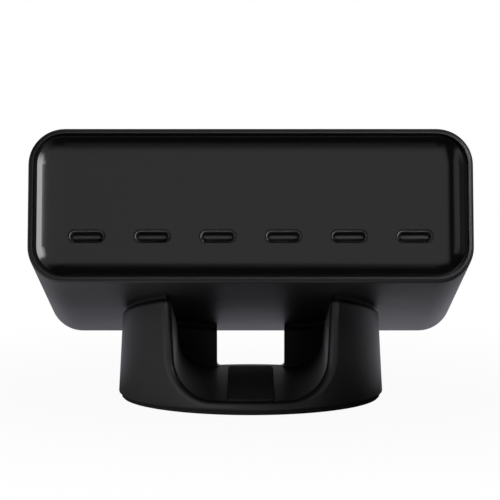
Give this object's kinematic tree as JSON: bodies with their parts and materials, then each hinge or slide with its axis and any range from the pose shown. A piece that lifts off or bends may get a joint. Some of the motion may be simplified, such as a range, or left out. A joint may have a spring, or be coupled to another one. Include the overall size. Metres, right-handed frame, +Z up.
{
  "type": "multi port usb desktop charger",
  "caption": "Flat rounded desktop charger with a row of USB-C sockets on its dished gloss face, tilted on a round channelled stand.",
  "frame": {"origin": "middle of the round foot's underside, on the desk", "axes": "+X to the right seen from the sockets, the sockets face -Y and slightly up, +Z up"},
  "size_m": [0.11, 0.0972, 0.0717],
  "materials": {
    "housing_plastic": "matte",
    "gloss_panel": "gloss",
    "socket_metal": "satin",
    "moulded_black": "satin",
    "board": "satin",
    "ferrite": "matte",
    "copper_wire": "satin",
    "aluminium_sheet": "satin",
    "capacitor_sleeve": "satin",
    "dipped_ceramic": "satin",
    "plated_brass": "polished",
    "steel": "satin",
    "rubber": "matte",
    "silicone_pad": "matte",
    "stand_plastic": "satin"
  },
  "bodies": {
    "root": {"boost_choke_core": "ferrite", "boost_choke_winding": "copper_wire", "bridge_rectifier": "moulded_black", "bulk_capacitor_1": "capacitor_sleeve", "bulk_capacitor_2": "capacitor_sleeve", "channel_strip": "rubber", "filter_choke_core": "ferrite", "filter_choke_windings": "copper_wire", "front_panel": "gloss_panel", "fuse": "moulded_black", "grip_pad_left": "rubber", "grip_pad_right": "rubber", "heat_spreader": "aluminium_sheet", "housing": "housing_plastic", "inlet_body": "moulded_black", "inlet_pins": "plated_brass", "main_board": "board", "output_capacitor_1": "aluminium_sheet", "output_capacitor_2": "aluminium_sheet", "output_capacitor_3": "aluminium_sheet", "output_capacitor_4": "aluminium_sheet", "output_capacitor_5": "aluminium_sheet", "output_capacitor_6": "aluminium_sheet", "output_choke_1": "ferrite", "output_choke_2": "ferrite", "output_choke_3": "ferrite", "output_choke_4": "ferrite", "output_choke_5": "ferrite", "output_choke_6": "ferrite", "stand_base_plate": "steel", "stand_foot": "rubber", "stand_screws": "steel", "stand_shell": "stand_plastic", "thermal_pad": "silicone_pad", "transformer_core": "ferrite", "transformer_winding": "copper_wire", "usb_c_shell_1": "socket_metal", "usb_c_shell_2": "socket_metal", "usb_c_shell_3": "socket_metal", "usb_c_shell_4": "socket_metal", "usb_c_shell_5": "socket_metal", "usb_c_shell_6": "socket_metal", "usb_c_tongue_1": "moulded_black", "usb_c_tongue_2": "moulded_black", "usb_c_tongue_3": "moulded_black", "usb_c_tongue_4": "moulded_black", "usb_c_tongue_5": "moulded_black", "usb_c_tongue_6": "moulded_black", "x_capacitor": "moulded_black", "y_capacitors": "dipped_ceramic"}
  },
  "joints": []
}
